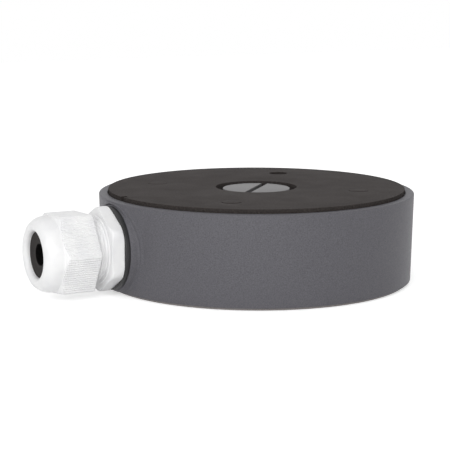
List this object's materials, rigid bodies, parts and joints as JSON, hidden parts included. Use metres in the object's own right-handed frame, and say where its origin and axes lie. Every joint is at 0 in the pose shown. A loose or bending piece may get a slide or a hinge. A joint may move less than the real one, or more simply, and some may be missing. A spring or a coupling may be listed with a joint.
{
  "type": "camera junction box",
  "caption": "Round cast junction box for mounting a camera, with a side cable gland, a plugged rear entry, a foam wall pad and a screwed cover.",
  "frame": {"origin": "centre of the camera's cable outlet at the camera face of the cover, on which the box stands", "axes": "+Z along the body's axis from the camera face to the wall face, -X outwards along the cable gland"},
  "size_m": [0.1731, 0.137, 0.0406],
  "materials": {
    "cast_body": "satin",
    "cover_cast": "satin",
    "foam": "matte",
    "plug_metal": "satin",
    "gland_plastic": "satin",
    "gland_rubber": "matte",
    "black_rubber": "matte",
    "screw_steel": "satin",
    "retainer_plastic": "matte",
    "terminal_brass": "satin"
  },
  "bodies": {
    "body": {"housing": "cast_body", "rear_foam_pad": "foam", "foam_disc_1": "foam", "foam_disc_2": "foam", "foam_disc_3": "foam", "gland_body": "gland_plastic", "gland_washer": "black_rubber", "ground_screw": "terminal_brass", "ground_washer": "terminal_brass"},
    "plug_seal": {"rear_plug_seal": "black_rubber"},
    "plug": {"rear_plug": "plug_metal"},
    "gland_insert": {"gland_claw_cage": "gland_plastic", "gland_seal": "gland_rubber"},
    "clamping_nut": {"gland_nut": "gland_plastic"},
    "cover": {"cover_plate": "cover_cast", "cover_gasket": "black_rubber", "cover_screw_1": "screw_steel", "cover_screw_2": "screw_steel", "cover_screw_3": "screw_steel", "cover_screw_o_ring_1": "black_rubber", "cover_screw_o_ring_2": "black_rubber", "cover_screw_o_ring_3": "black_rubber", "cover_screw_retainer_1": "retainer_plastic", "cover_screw_retainer_2": "retainer_plastic", "cover_screw_retainer_3": "retainer_plastic"}
  },
  "joints": [
    {"name": "body_lift", "type": "slide", "parent": "cover", "child": "body", "axis": [0, 0, 1], "range_m": [0, 0.04]},
    {"name": "plug_lift", "type": "slide", "parent": "body", "child": "plug_seal", "axis": [0, 0, 1], "range_m": [0, 0.00727]},
    {"name": "plug_turn", "type": "hinge", "parent": "plug_seal", "child": "plug", "pos_m": [0, 0, 0.0384], "axis": [0, 0, 1], "range_deg": [0, 1440]},
    {"name": "gland_feed", "type": "slide", "parent": "body", "child": "gland_insert", "axis": [-1, 0, 0], "range_m": [-0.00301, 0.00751]},
    {"name": "nut_turn", "type": "hinge", "parent": "gland_insert", "child": "clamping_nut", "pos_m": [-0.0925, 0, 0.0195], "axis": [-1, 0, 0], "range_deg": [-720, 1800]}
  ],
  "couplings": [
    {"joint": "plug_lift", "follows": "plug_turn", "m_per_rad": 0.00028871},
    {"joint": "gland_feed", "follows": "nut_turn", "m_per_rad": 0.00023873}
  ]
}
